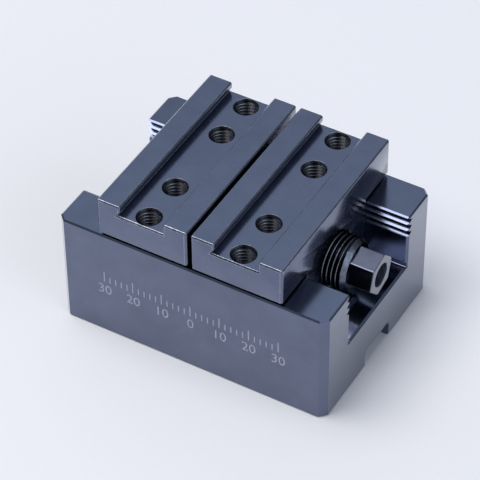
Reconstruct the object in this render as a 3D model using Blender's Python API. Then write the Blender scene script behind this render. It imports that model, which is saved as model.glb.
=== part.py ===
"""Self centering vise: a channelled steel base, two carriages, a two-handed spindle and its centre bearing.

Metres, +Z up. X runs along the spindle, its hex end at +X. The underside of the base rests on Z = 0.
"""

import math

import bmesh
import bpy
from mathutils import Matrix, Vector

# Fits
GAP = 0.0003  # between a piece and its seat, and between a shaft and its bore
SLIDE_GAP = 0.0003  # between a carriage and the channel walls, teeth and floor

# Base
BODY_LENGTH = 0.0916
BODY_WIDTH = 0.066
BODY_HEIGHT = 0.040
CORNER_CHAMFER = 0.0022
EDGE_BREAK = 0.0005
CHANNEL_WIDTH = 0.0369
CHANNEL_END_CHAMFER = 0.0007
RELIEF_RADIUS = 0.0009

# Guide grooves in both channel walls
GROOVE_COUNT = 3
GROOVE_PITCH = 0.00255
GROOVE_DEPTH = 0.00215
TOP_TIP_DROP = 0.0003  # from the rail top down to the first tip
TOP_TIP_BEVEL = 0.0006

# Key slots under both ends
KEY_SLOT_WIDTH = 0.0156
KEY_SLOT_HEIGHT = 0.0063
KEY_SLOT_LENGTH = 0.012
KEY_SLOT_FILLET = 0.0019

# Tapped holes under the rails, for fastening the vise down
MOUNT_HOLE_DIAMETER = 0.0068
MOUNT_HOLE_DEPTH = 0.013
MOUNT_HOLE_SPACING_X = 0.060
MOUNT_HOLE_SPACING_Y = 0.048
MOUNT_HOLE_COUNTERSINK = 0.0009

# Spindle
SPINDLE_DROP = 0.0076  # axis below the rail tops
SPINDLE_FLOOR_SPACE = 0.0038
THREAD_DIAMETER = 0.017
THREAD_END_DROP = 0.0012  # of the cone at each end of the thread, in radius
THREAD_END_TAPER = 0.0015  # the cone's length
NECK_DIAMETER = 0.010
HEX_ACROSS_FLATS = 0.012
HEX_LENGTH = 0.008
HEX_PROUD = 0.0005  # of its tip past the end of the base
HEX_TURN = math.radians(13.85)  # of its corners, from +Y towards +Z
HEX_BORE_DIAMETER = 0.008
HEX_BORE_DEPTH = 0.007

# Carriages
CARRIAGE_LENGTH = 0.0306
CARRIAGE_HEIGHT = 0.0131  # from the underside of its plate
CARRIAGE_LIFT = 0.0009  # of its plate over the rail tops
CARRIAGE_EDGE = 0.00045
CARRIAGE_CORNER = 0.0007  # chamfer of its four upright corners
JAW_OPENING = 0.0013
RIDGE_WIDTH = 0.0079
TOP_CHANNEL_DEPTH = 0.0037
UNDERCUT_REACH = 0.0009  # relief in the low-X corner of the top channel, into the ridge
UNDERCUT_HEIGHT = 0.0017
BLOCK_SPACE = 0.001  # from the inner end of a slide to the centre block
NUT_CHAMFER = 0.0006

# Tapped holes in the carriages
TAP_DIAMETER = 0.008
TAP_SPACING_INNER = 0.0272
TAP_SIDE_DISTANCE = 0.0046  # of the outer holes from the side of the carriage
TAP_DEPTH_INNER = 0.0095

# Centre bearing
BLOCK_LENGTH = 0.018
BLOCK_SIDE_SPACE = 0.0004
BLOCK_EDGE = 0.0004
CAP_HEADROOM = 0.0005

# Fasteners
CAP_SCREW_DIAMETER = 0.004
CAP_SCREW_HEAD_DIAMETER = 0.007
CAP_SCREW_HEAD_HEIGHT = 0.004
CAP_SCREW_REACH = 0.0045  # into the block
CAP_SCREW_SPACING_X = 0.0094
CAP_SCREW_SPACING_Y = 0.0250
BLOCK_SCREW_DIAMETER = 0.005
BLOCK_SCREW_HEAD_DIAMETER = 0.0085
BLOCK_SCREW_HEAD_HEIGHT = 0.005
BLOCK_SCREW_REACH = 0.005  # into the block
BLOCK_SCREW_SPACING_X = 0.0098
BLOCK_SCREW_SPACING_Y = 0.0200
CAP_SOCKET_ACROSS_FLATS = 0.003
CAP_SOCKET_DEPTH = 0.002
BLOCK_SOCKET_ACROSS_FLATS = 0.004
BLOCK_SOCKET_DEPTH = 0.0025
COUNTERBORE_DEPTH = 0.0062
HEAD_SIDE_SPACE = 0.0003
FASTENER_EDGE = 0.0004
DOWEL_DIAMETER = 0.004
DOWEL_SPACING = 0.0300
DOWEL_REACH_BASE = 0.008
DOWEL_REACH_BLOCK = 0.005

ROUND_STEPS = 48
BORE_STEPS = 40
SMALL_STEPS = 24
ARC_STEPS = 5
OVERSHOOT = 0.002  # of a cutter past the faces it opens

# Places worked out from the sizes above
HALF_LENGTH = BODY_LENGTH / 2
HALF_CHANNEL = CHANNEL_WIDTH / 2
AXIS_HEIGHT = BODY_HEIGHT - SPINDLE_DROP
THREAD_RADIUS = THREAD_DIAMETER / 2
FLOOR_HEIGHT = AXIS_HEIGHT - THREAD_RADIUS - SPINDLE_FLOOR_SPACE
PLATE_BOTTOM = BODY_HEIGHT + CARRIAGE_LIFT
PLATE_TOP = PLATE_BOTTOM + CARRIAGE_HEIGHT
JAW_INNER = JAW_OPENING / 2
JAW_OUTER = JAW_INNER + CARRIAGE_LENGTH
JAW_HALF_WIDTH = BODY_WIDTH / 2
TAP_X = JAW_INNER + CARRIAGE_LENGTH / 2
TOP_CHANNEL_FLOOR = PLATE_TOP - TOP_CHANNEL_DEPTH
HALF_BLOCK = BLOCK_LENGTH / 2
SLIDE_INNER = HALF_BLOCK + BLOCK_SPACE
BLOCK_HALF_WIDTH = HALF_CHANNEL - BLOCK_SIDE_SPACE
BLOCK_BOTTOM = FLOOR_HEIGHT + GAP
CAP_TOP = PLATE_BOTTOM - CAP_HEADROOM
CAP_RECESS_FLOOR = CAP_TOP - CAP_SCREW_HEAD_HEIGHT - GAP
HALF_NECK = HALF_BLOCK + GAP
HEX_TIP = HALF_LENGTH + HEX_PROUD
THREAD_FAR_END = HEX_TIP - HEX_LENGTH
THREAD_END = THREAD_FAR_END - THREAD_END_TAPER

BLACKENED = (0.105, 0.118, 0.160)
BLACKENED_JAW = (0.115, 0.130, 0.175)
SPINDLE_STEEL = (0.14, 0.15, 0.18)
BEARING_STEEL = (0.20, 0.21, 0.23)
SCREW_BLACK = (0.03, 0.03, 0.035)
PIN_STEEL = (0.55, 0.56, 0.58)


def clear_scene():
    for item in list(bpy.data.objects):
        bpy.data.objects.remove(item, do_unlink=True)


def steel(name, color, roughness):
    material = bpy.data.materials.new(name)
    material.use_nodes = True
    shader = material.node_tree.nodes["Principled BSDF"]
    shader.inputs["Base Color"].default_value = (*color, 1.0)
    shader.inputs["Roughness"].default_value = roughness
    shader.inputs["Metallic"].default_value = 1.0
    return material


def add_object(name, mesh, material=None, origin=(0.0, 0.0, 0.0)):
    """Puts a mesh into the scene, with its origin moved to a point on the piece's own axis."""
    mesh.transform(Matrix.Translation(-Vector(origin)))
    item = bpy.data.objects.new(name, mesh)
    item.location = origin
    bpy.context.scene.collection.objects.link(item)
    if material:
        mesh.materials.append(material)
    return item


def finished_mesh(name, made):
    bmesh.ops.remove_doubles(made, verts=made.verts, dist=1e-7)
    bmesh.ops.recalc_face_normals(made, faces=made.faces)
    mesh = bpy.data.meshes.new(name)
    made.to_mesh(mesh)
    made.free()
    return mesh


def along_x(across, up, depth):
    return Vector((depth, across, up))


def along_y(across, up, depth):
    return Vector((across, depth, up))


def along_z(across, up, depth):
    return Vector((across, up, depth))


def offset_outline(outline, distance):
    """Moves every side of a counter-clockwise outline outwards, or inwards where distance is negative."""
    moved = []
    for index, point in enumerate(outline):
        here = Vector(point)
        incoming = (here - Vector(outline[index - 1])).normalized()
        outgoing = (Vector(outline[(index + 1) % len(outline)]) - here).normalized()
        first = Vector((incoming.y, -incoming.x))
        second = Vector((outgoing.y, -outgoing.x))
        moved.append(here + (first + second) * distance / (1 + first.dot(second)))
    return moved


def skin_rings(made, rings):
    """Joins rings of points with faces and closes both ends."""
    loops = [[made.verts.new(point) for point in ring] for ring in rings]
    count = len(loops[0])
    for lower, upper in zip(loops, loops[1:]):
        for index in range(count):
            after = (index + 1) % count
            made.faces.new((lower[index], lower[after], upper[after], upper[index]))
    made.faces.new(reversed(loops[0]))
    made.faces.new(loops[-1])


def prism(name, outline, place, start, end, edge=0.0):
    """Solid drawn out from an outline, its two ends chamfered by edge."""
    made = bmesh.new()
    inner = offset_outline(outline, -edge) if edge else None
    if edge:
        steps = [(inner, start), (outline, start + edge), (outline, end - edge), (inner, end)]
    else:
        steps = [(outline, start), (outline, end)]
    skin_rings(made, [[place(point[0], point[1], depth) for point in ring] for ring, depth in steps])
    return finished_mesh(name, made)


def turned(name, profile, steps):
    """Solid turned about the local X axis, from (along, radius) pairs that start and end on the axis."""
    made = bmesh.new()
    rings = []
    for along, radius in profile[1:-1]:
        angles = [2 * math.pi * step / steps for step in range(steps)]
        rings.append([Vector((along, radius * math.cos(a), radius * math.sin(a))) for a in angles])
    skin_rings(made, rings)
    return finished_mesh(name, made)


def rectangle(low, high):
    return [(low[0], low[1]), (high[0], low[1]), (high[0], high[1]), (low[0], high[1])]


def chamfered_rectangle(low, high, cut):
    return [
        (low[0] + cut, low[1]),
        (high[0] - cut, low[1]),
        (high[0], low[1] + cut),
        (high[0], high[1] - cut),
        (high[0] - cut, high[1]),
        (low[0] + cut, high[1]),
        (low[0], high[1] - cut),
        (low[0], low[1] + cut),
    ]


def hexagon(across_flats, turn=0.0):
    corner = across_flats / 2 / math.cos(math.pi / 6)
    angles = [turn + math.pi / 3 * index for index in range(6)]
    return [(corner * math.cos(angle), corner * math.sin(angle)) for angle in angles]


def arc(centre, radius, start, end, steps):
    """Points on a circle from one angle to another, in degrees."""
    points = []
    for step in range(steps + 1):
        angle = math.radians(start + (end - start) * step / steps)
        points.append((centre[0] + radius * math.cos(angle), centre[1] + radius * math.sin(angle)))
    return points


def mirror_outline(half):
    """Whole outline from the points of its right half, listed from bottom to top."""
    return half + [(-across, up) for across, up in reversed(half)]


def combine(item, tool_mesh, operation="DIFFERENCE"):
    """Cuts a mesh out of an object, or joins it on, with a live Boolean."""
    tool = add_object("tool_" + tool_mesh.name, tool_mesh, origin=item.location)
    tool.hide_render = True
    tool.display_type = "WIRE"
    step = item.modifiers.new(tool_mesh.name, "BOOLEAN")
    step.operation = operation
    step.object = tool
    return tool


def smooth_rounds(item):
    item.data.shade_smooth()
    item.data.set_sharp_from_angle(angle=math.radians(30))


def upright(mesh, centre, rise=1.0):
    """Stands a turned mesh on end at a point, with its local X axis up, or down where rise is negative."""
    mesh.transform(Matrix.Rotation(-math.pi / 2 * rise, 4, "Y"))
    mesh.transform(Matrix.Translation(Vector(centre)))
    return mesh


def hole(name, centre, diameter, bottom, top, chamfer=0.0, chamfer_up=True, steps=SMALL_STEPS):
    """Cutter for a vertical hole, with a countersink that ends at the face that the hole opens."""
    radius = diameter / 2
    profile = [(bottom, 0.0), (bottom, radius), (top, radius), (top, 0.0)]
    if chamfer and chamfer_up:
        profile[2:3] = [(top - chamfer, radius), (top + OVERSHOOT, radius + chamfer + OVERSHOOT)]
        profile[-1] = (top + OVERSHOOT, 0.0)
    elif chamfer:
        profile[1:2] = [(bottom - OVERSHOOT, radius + chamfer + OVERSHOOT), (bottom + chamfer, radius)]
        profile[0] = (bottom - OVERSHOOT, 0.0)
    return upright(turned(name, profile, steps), (centre[0], centre[1], 0.0))


def signs():
    return ((-1, -1), (1, -1), (-1, 1), (1, 1))


def channel_half(with_relief):
    """Right half of the channel's section: floor, wall, guide grooves and the bevel at the top."""
    points = [(HALF_CHANNEL, FLOOR_HEIGHT)]
    if with_relief:
        centre = (HALF_CHANNEL - RELIEF_RADIUS / 2, FLOOR_HEIGHT + RELIEF_RADIUS / 2)
        points = arc(centre, RELIEF_RADIUS, -150, 60, 2 * ARC_STEPS)
    top_tip = BODY_HEIGHT - TOP_TIP_DROP
    for groove in reversed(range(GROOVE_COUNT)):
        lower_tip = top_tip - GROOVE_PITCH * (groove + 1)
        points.append((HALF_CHANNEL, lower_tip))
        points.append((HALF_CHANNEL + GROOVE_DEPTH, lower_tip + GROOVE_PITCH / 2))
    points.append((HALF_CHANNEL, top_tip))
    return points


def channel_outline():
    top_tip = BODY_HEIGHT - TOP_TIP_DROP
    rise = OVERSHOOT + TOP_TIP_DROP
    reach = TOP_TIP_BEVEL * rise / TOP_TIP_DROP
    return mirror_outline(channel_half(True) + [(HALF_CHANNEL + reach, top_tip + rise)])


def slide_outline():
    """Section of the part of a carriage that runs in the channel."""
    half = channel_half(False) + [(HALF_CHANNEL, (PLATE_BOTTOM + TOP_CHANNEL_FLOOR) / 2)]
    return offset_outline(mirror_outline(half), -SLIDE_GAP)


def key_slot_outline():
    half_width = KEY_SLOT_WIDTH / 2
    corner = (half_width - KEY_SLOT_FILLET, KEY_SLOT_HEIGHT - KEY_SLOT_FILLET)
    return mirror_outline([(half_width, -OVERSHOOT)] + arc(corner, KEY_SLOT_FILLET, 0, 90, ARC_STEPS))


def channel_mouth(side):
    """Cutter that chamfers the edges where the channel meets one end of the base."""
    made = bmesh.new()
    rings = []
    for spread in (-CHANNEL_END_CHAMFER, OVERSHOOT):
        half = HALF_CHANNEL + CHANNEL_END_CHAMFER + spread
        floor = FLOOR_HEIGHT - CHANNEL_END_CHAMFER - spread
        depth = side * (HALF_LENGTH + spread)
        corners = rectangle((-half, floor), (half, BODY_HEIGHT + OVERSHOOT))
        rings.append([along_x(across, up, depth) for across, up in corners])
    skin_rings(made, rings)
    return finished_mesh("channel_mouth", made)


def make_base(material):
    half_width = BODY_WIDTH / 2
    footprint = chamfered_rectangle((-HALF_LENGTH, -half_width), (HALF_LENGTH, half_width), CORNER_CHAMFER)
    blank = prism("base_body", footprint, along_z, 0.0, BODY_HEIGHT, EDGE_BREAK)
    base = add_object("base_body", blank, material)
    reach = HALF_LENGTH + OVERSHOOT
    combine(base, prism("channel", channel_outline(), along_x, -reach, reach))
    for side in (-1, 1):
        combine(base, channel_mouth(side))
        ends = sorted((side * (HALF_LENGTH - KEY_SLOT_LENGTH), side * reach))
        combine(base, prism("key_slot", key_slot_outline(), along_x, *ends))
    for side, flank in signs():
        centre = (side * MOUNT_HOLE_SPACING_X / 2, flank * MOUNT_HOLE_SPACING_Y / 2)
        combine(base, hole("mount_hole", centre, MOUNT_HOLE_DIAMETER, 0.0, MOUNT_HOLE_DEPTH,
                           MOUNT_HOLE_COUNTERSINK, chamfer_up=False))
        centre = (side * BLOCK_SCREW_SPACING_X / 2, flank * BLOCK_SCREW_SPACING_Y / 2)
        bore = BLOCK_SCREW_HEAD_DIAMETER + 2 * HEAD_SIDE_SPACE
        combine(base, hole("counterbore", centre, bore, -OVERSHOOT, COUNTERBORE_DEPTH))
        combine(base, hole("block_screw_hole", centre, BLOCK_SCREW_DIAMETER + 2 * GAP, -OVERSHOOT,
                           FLOOR_HEIGHT + OVERSHOOT))
    for flank in (-1, 1):
        centre = (0.0, flank * DOWEL_SPACING / 2)
        combine(base, hole("dowel_hole", centre, DOWEL_DIAMETER + 2 * GAP,
                           FLOOR_HEIGHT - DOWEL_REACH_BASE - GAP, FLOOR_HEIGHT + OVERSHOOT))
    smooth_rounds(base)
    return base


def carriage_outline(low):
    """Section of a carriage's plate, seen along Y: two ridges with a channel between them."""
    edge = CARRIAGE_EDGE
    high = low + CARRIAGE_LENGTH
    left = low + RIDGE_WIDTH
    right = high - RIDGE_WIDTH
    floor = TOP_CHANNEL_FLOOR
    return [
        (low + edge, PLATE_BOTTOM),
        (high - edge, PLATE_BOTTOM),
        (high, PLATE_BOTTOM + edge),
        (high, PLATE_TOP - edge),
        (high - edge, PLATE_TOP),
        (right + edge, PLATE_TOP),
        (right, PLATE_TOP - edge),
        (right, floor),
        (left - UNDERCUT_REACH, floor),
        (left, floor + UNDERCUT_HEIGHT),
        (left, PLATE_TOP - edge),
        (left - edge, PLATE_TOP),
        (low + edge, PLATE_TOP),
        (low, PLATE_TOP - edge),
        (low, PLATE_BOTTOM + edge),
    ]


def nut_bore():
    """Cutter for the spindle's bore through a carriage, with a countersink at its outer end."""
    radius = THREAD_RADIUS + GAP
    profile = [
        (SLIDE_INNER - OVERSHOOT, 0.0),
        (SLIDE_INNER - OVERSHOOT, radius),
        (JAW_OUTER - NUT_CHAMFER, radius),
        (JAW_OUTER + OVERSHOOT, radius + NUT_CHAMFER + OVERSHOOT),
        (JAW_OUTER + OVERSHOOT, 0.0),
    ]
    mesh = turned("nut_bore", profile, ROUND_STEPS)
    mesh.transform(Matrix.Translation((0.0, 0.0, AXIS_HEIGHT)))
    return mesh


def make_carriage(name, side, material):
    """One base jaw: plate, guide teeth and nut in one piece. Its origin is on the spindle's axis."""
    low = JAW_INNER if side > 0 else -JAW_OUTER
    high = low + CARRIAGE_LENGTH
    plate = prism(name, carriage_outline(low), along_y, -JAW_HALF_WIDTH, JAW_HALF_WIDTH, CARRIAGE_EDGE)
    carriage = add_object(name, plate, material, (side * TAP_X, 0.0, AXIS_HEIGHT))
    footprint = chamfered_rectangle((low, -JAW_HALF_WIDTH), (high, JAW_HALF_WIDTH), CARRIAGE_CORNER)
    corners = prism("corners", footprint, along_z, PLATE_BOTTOM - OVERSHOOT, PLATE_TOP + OVERSHOOT)
    combine(carriage, corners, "INTERSECT")
    placed = [(prism("slide", slide_outline(), along_x, SLIDE_INNER, JAW_OUTER), "UNION")]
    placed.append((nut_bore(), "DIFFERENCE"))
    blind = (TAP_SPACING_INNER / 2, TOP_CHANNEL_FLOOR - TAP_DEPTH_INNER)
    through = (JAW_HALF_WIDTH - TAP_SIDE_DISTANCE, PLATE_BOTTOM - OVERSHOOT)
    for flank in (-1, 1):
        for across, bottom in (blind, through):
            mesh = hole("tapped_hole", (TAP_X, flank * across), TAP_DIAMETER, bottom,
                        TOP_CHANNEL_FLOOR + OVERSHOOT, steps=BORE_STEPS)
            placed.append((mesh, "DIFFERENCE"))
    half_turn = Matrix.Diagonal((side, side, 1.0, 1.0))  # about Z, for the left carriage
    for mesh, operation in placed:
        mesh.transform(half_turn)
        combine(carriage, mesh, operation)
    smooth_rounds(carriage)
    return carriage


def make_spindle(material):
    """Spindle with a thread on each side of its neck and a hex at one end. Its origin is on its axis."""
    neck = NECK_DIAMETER / 2
    end_radius = THREAD_RADIUS - THREAD_END_DROP
    profile = [
        (-THREAD_FAR_END, 0.0),
        (-THREAD_FAR_END, end_radius),
        (-THREAD_END, THREAD_RADIUS),
        (-HALF_NECK, THREAD_RADIUS),
        (-HALF_NECK, neck),
        (HALF_NECK, neck),
        (HALF_NECK, THREAD_RADIUS),
        (THREAD_END, THREAD_RADIUS),
        (THREAD_FAR_END, end_radius),
        (THREAD_FAR_END, 0.0),
    ]
    spindle = add_object("spindle", turned("spindle", profile, ROUND_STEPS), material)
    spindle.location = (0.0, 0.0, AXIS_HEIGHT)
    outline = hexagon(HEX_ACROSS_FLATS, HEX_TURN)
    hex_end = prism("hex_end", outline, along_x, THREAD_FAR_END - OVERSHOOT, HEX_TIP)
    bore_start = HEX_TIP - HEX_BORE_DEPTH
    bore_radius = HEX_BORE_DIAMETER / 2
    bore = turned("hex_bore", [
        (bore_start, 0.0),
        (bore_start, bore_radius),
        (HEX_TIP + OVERSHOOT, bore_radius),
        (HEX_TIP + OVERSHOOT, 0.0),
    ], BORE_STEPS)
    for mesh, operation in ((hex_end, "UNION"), (bore, "DIFFERENCE")):
        mesh.transform(Matrix.Translation((0.0, 0.0, AXIS_HEIGHT)))
        combine(spindle, mesh, operation)
    smooth_rounds(spindle)
    return spindle


def neck_bore():
    radius = NECK_DIAMETER / 2 + GAP
    reach = HALF_BLOCK + OVERSHOOT
    mesh = turned("neck_bore", [(-reach, 0.0), (-reach, radius), (reach, radius), (reach, 0.0)], ROUND_STEPS)
    mesh.transform(Matrix.Translation((0.0, 0.0, AXIS_HEIGHT)))
    return mesh


def make_block(material):
    """Lower half of the centre bearing, which stands on the channel floor."""
    low = (-BLOCK_HALF_WIDTH, BLOCK_BOTTOM)
    high = (BLOCK_HALF_WIDTH, AXIS_HEIGHT - GAP / 2)
    outline = chamfered_rectangle(low, high, BLOCK_EDGE)
    mesh = prism("centre_block", outline, along_x, -HALF_BLOCK, HALF_BLOCK, BLOCK_EDGE)
    block = add_object("centre_block", mesh, material)
    combine(block, neck_bore())
    for side, flank in signs():
        centre = (side * BLOCK_SCREW_SPACING_X / 2, flank * BLOCK_SCREW_SPACING_Y / 2)
        combine(block, hole("block_screw_tap", centre, BLOCK_SCREW_DIAMETER + 2 * GAP,
                            BLOCK_BOTTOM - OVERSHOOT, FLOOR_HEIGHT + BLOCK_SCREW_REACH + GAP))
        centre = (side * CAP_SCREW_SPACING_X / 2, flank * CAP_SCREW_SPACING_Y / 2)
        combine(block, hole("cap_screw_tap", centre, CAP_SCREW_DIAMETER + 2 * GAP,
                            AXIS_HEIGHT - CAP_SCREW_REACH - GAP, AXIS_HEIGHT + OVERSHOOT))
    for flank in (-1, 1):
        combine(block, hole("dowel_seat", (0.0, flank * DOWEL_SPACING / 2), DOWEL_DIAMETER + 2 * GAP,
                            BLOCK_BOTTOM - OVERSHOOT, FLOOR_HEIGHT + DOWEL_REACH_BLOCK + GAP))
    smooth_rounds(block)
    return block


def make_cap(material):
    """Upper half of the centre bearing."""
    low = (-BLOCK_HALF_WIDTH, AXIS_HEIGHT + GAP / 2)
    outline = chamfered_rectangle(low, (BLOCK_HALF_WIDTH, CAP_TOP), BLOCK_EDGE)
    mesh = prism("centre_block_cap", outline, along_x, -HALF_BLOCK, HALF_BLOCK, BLOCK_EDGE)
    cap = add_object("centre_block_cap", mesh, material)
    combine(cap, neck_bore())
    recess = CAP_SCREW_HEAD_DIAMETER + 2 * HEAD_SIDE_SPACE
    for side, flank in signs():
        centre = (side * CAP_SCREW_SPACING_X / 2, flank * CAP_SCREW_SPACING_Y / 2)
        combine(cap, hole("cap_screw_hole", centre, CAP_SCREW_DIAMETER + 2 * GAP, AXIS_HEIGHT - OVERSHOOT,
                          CAP_TOP + OVERSHOOT))
        combine(cap, hole("cap_screw_recess", centre, recess, CAP_RECESS_FLOOR, CAP_TOP + OVERSHOOT))
    smooth_rounds(cap)
    return cap


def screw_mesh(name, diameter, head_diameter, head_height, length):
    """Socket-head screw about the local X axis, its head's underside at the origin and its tip at -X."""
    radius = diameter / 2
    head = head_diameter / 2
    edge = FASTENER_EDGE
    profile = [
        (-length, 0.0),
        (-length, radius - edge),
        (-length + edge, radius),
        (0.0, radius),
        (0.0, head),
        (head_height - edge, head),
        (head_height, head - edge),
        (head_height, 0.0),
    ]
    return turned(name, profile, SMALL_STEPS)


def make_screws(name, sizes, socket, spacing, seat, rise, material):
    """Four equal screws on a rectangle, heads up or down, each its own object."""
    head_height = sizes[2]
    across_flats, depth = socket
    for number, (side, flank) in enumerate(signs(), start=1):
        centre = (side * spacing[0] / 2, flank * spacing[1] / 2, seat)
        mesh = upright(screw_mesh(f"{name}_{number}", *sizes), centre, rise)
        screw = add_object(f"{name}_{number}", mesh, material, centre)
        cutter = prism("socket", hexagon(across_flats), along_x, head_height - depth, head_height + OVERSHOOT)
        combine(screw, upright(cutter, centre, rise))
        smooth_rounds(screw)


def make_dowels(material):
    radius = DOWEL_DIAMETER / 2
    edge = FASTENER_EDGE
    low = FLOOR_HEIGHT - DOWEL_REACH_BASE
    high = FLOOR_HEIGHT + DOWEL_REACH_BLOCK
    profile = [
        (low, 0.0),
        (low, radius - edge),
        (low + edge, radius),
        (high - edge, radius),
        (high, radius - edge),
        (high, 0.0),
    ]
    for number, flank in enumerate((-1, 1), start=1):
        name = f"block_dowel_{number}"
        mesh = upright(turned(name, profile, SMALL_STEPS), (0.0, flank * DOWEL_SPACING / 2, 0.0))
        dowel = add_object(name, mesh, material, (0.0, flank * DOWEL_SPACING / 2, FLOOR_HEIGHT))
        smooth_rounds(dowel)


def main():
    clear_scene()
    make_base(steel("blackened_base", BLACKENED, 0.42))
    carriage_steel = steel("blackened_carriage", BLACKENED_JAW, 0.40)
    make_carriage("left_carriage", -1, carriage_steel)
    make_carriage("right_carriage", 1, carriage_steel)
    make_spindle(steel("blackened_spindle", SPINDLE_STEEL, 0.30))
    bearing = steel("bearing_steel", BEARING_STEEL, 0.35)
    make_block(bearing)
    make_cap(bearing)
    screw_black = steel("screw_black", SCREW_BLACK, 0.45)
    cap_length = CAP_RECESS_FLOOR - AXIS_HEIGHT + CAP_SCREW_REACH + GAP
    cap_sizes = (CAP_SCREW_DIAMETER, CAP_SCREW_HEAD_DIAMETER, CAP_SCREW_HEAD_HEIGHT, cap_length)
    cap_socket = (CAP_SOCKET_ACROSS_FLATS, CAP_SOCKET_DEPTH)
    cap_spacing = (CAP_SCREW_SPACING_X, CAP_SCREW_SPACING_Y)
    make_screws("cap_screw", cap_sizes, cap_socket, cap_spacing, CAP_RECESS_FLOOR + GAP, 1, screw_black)
    block_seat = COUNTERBORE_DEPTH - GAP
    block_length = FLOOR_HEIGHT + BLOCK_SCREW_REACH - block_seat
    block_sizes = (BLOCK_SCREW_DIAMETER, BLOCK_SCREW_HEAD_DIAMETER, BLOCK_SCREW_HEAD_HEIGHT, block_length)
    block_socket = (BLOCK_SOCKET_ACROSS_FLATS, BLOCK_SOCKET_DEPTH)
    block_spacing = (BLOCK_SCREW_SPACING_X, BLOCK_SCREW_SPACING_Y)
    make_screws("block_screw", block_sizes, block_socket, block_spacing, block_seat, -1, screw_black)
    make_dowels(steel("pin_steel", PIN_STEEL, 0.25))


main()
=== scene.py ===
"""Looks of the self centering vise: oiled black steel, cut threads, an etched scale, studio light and camera.

Metres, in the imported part's own frame: X along the spindle, its hex end at +X, the underside on Z = 0.
"""

import math

import bmesh
import bpy
from mathutils import Matrix, Vector


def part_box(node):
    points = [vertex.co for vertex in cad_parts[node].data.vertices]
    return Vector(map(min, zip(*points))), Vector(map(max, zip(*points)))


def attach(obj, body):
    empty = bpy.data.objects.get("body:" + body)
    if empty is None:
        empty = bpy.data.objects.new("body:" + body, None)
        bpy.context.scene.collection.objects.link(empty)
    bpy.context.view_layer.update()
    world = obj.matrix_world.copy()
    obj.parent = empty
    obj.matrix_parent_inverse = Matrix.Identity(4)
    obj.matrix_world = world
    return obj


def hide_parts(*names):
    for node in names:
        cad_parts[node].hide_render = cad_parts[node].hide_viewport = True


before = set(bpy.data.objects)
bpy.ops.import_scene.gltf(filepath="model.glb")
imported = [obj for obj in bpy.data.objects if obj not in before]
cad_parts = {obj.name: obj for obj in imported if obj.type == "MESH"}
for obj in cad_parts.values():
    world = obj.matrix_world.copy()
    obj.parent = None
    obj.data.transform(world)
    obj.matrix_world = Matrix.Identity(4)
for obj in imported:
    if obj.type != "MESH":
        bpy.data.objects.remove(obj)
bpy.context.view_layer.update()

MM = 0.001

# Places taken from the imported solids
FRONT_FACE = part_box("base_body")[0].y
JAW_LOW, JAW_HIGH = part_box("right_carriage")
SPINDLE_LOW, SPINDLE_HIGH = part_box("spindle")
AXIS_HEIGHT = (SPINDLE_LOW.z + SPINDLE_HIGH.z) / 2
HOLE_X = (JAW_LOW.x + JAW_HIGH.x) / 2

# Edges and shading. Each angle is in degrees, between two faces that meet
EDGE_BREAK = 0.14 * MM  # width of the flat that is worn onto a sharp edge
BREAK_ANGLE = 50  # an edge sharper than this is broken
JAW_BREAK_ANGLE = 40  # on the jaws that takes in the edges of their own 45 degree chamfers
SHARP_ANGLE = 20  # faces closer than this are shaded as one soft surface
JAW_THREAD_SHARP_ANGLE = 35
SPINDLE_SHARP_ANGLE = 30
LEVEL_ANGLE = 0.3  # faces closer than this are one flat face
PALE_SLOT = 1  # place of the pale finish in the materials of the base and the jaws: painted highlight, with some wear
WELD = 0.002 * MM  # points closer than this are one
FINE_WELD = 0.001 * MM
FINEST_WELD = 0.0001 * MM

# Cutting threads
SPARE_TURNS = 2  # wound beyond a thread's length, and then cut off level
ROWS_ACROSS = 13  # points across one pitch
CREST_HALF = 0.03  # half of the flat on a crest, as a share of the pitch
ROOT_START = 0.42  # from the middle of a crest to the flat in the root, as a share of the pitch
HAIR = 0.01 * MM  # too little to see
OVERLAP = 0.5 * MM  # by which lengths of the spindle run into each other

# Spindle
SPINDLE_PITCH = 1.5 * MM
SPINDLE_CREST = SPINDLE_HIGH.z - AXIS_HEIGHT
SPINDLE_ROOT = SPINDLE_CREST - 0.92 * MM
CREST_PALE_START = SPINDLE_CREST - 0.18 * MM  # radius from which the crest is painted pale: painted highlight, partly wear from the nut
CREST_PALE_FULL = SPINDLE_CREST - 0.05 * MM
SPINDLE_STEPS = 96  # round one turn
THREAD_START = 9.3 * MM  # from the middle of the spindle, to each side
HEX_LENGTH = 8 * MM
THREAD_LENGTH = SPINDLE_HIGH.x - HEX_LENGTH - THREAD_START
THREAD_END_DROP = 1.2 * MM  # what the cone at each outer end takes off the radius
THREAD_END_TAPER = 1.5 * MM  # length of that cone
THREAD_RUNOUT = 0.8 * MM  # over which the groove fades before the cone
CREST_PHASE = math.radians(309)  # turns the crests to where the photograph shows them
CORE_RADIUS = 5 * MM
THREAD_WALL = CORE_RADIUS - 0.2 * MM  # inner wall of the thread pieces, out of sight in the core
END_DISC_RADIUS = CORE_RADIUS + 0.2 * MM
END_DISC_THICKNESS = 1 * MM
HEX_SLOT = 1  # places of the turned steel, the bore and the pale cones in the spindle's materials; the cones' pale colour is painted highlight, with some wear
BORE_SLOT = 2
CONE_SLOT = 3
HEX_STEPS = 288  # round the hex and its bore
HEX_ACROSS_FLATS = 12 * MM
HEX_TURN = math.radians(13.85)  # as the photograph shows it
HEX_BORE_RADIUS = 3.88 * MM
HEX_BORE_DEPTH = 7 * MM
HEX_CORNER_ROUND = 0.07 * MM  # the most that the corners lose
HEX_TIP_CHAMFER = 0.22 * MM
HEX_BORE_CHAMFER = 0.12 * MM

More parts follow.
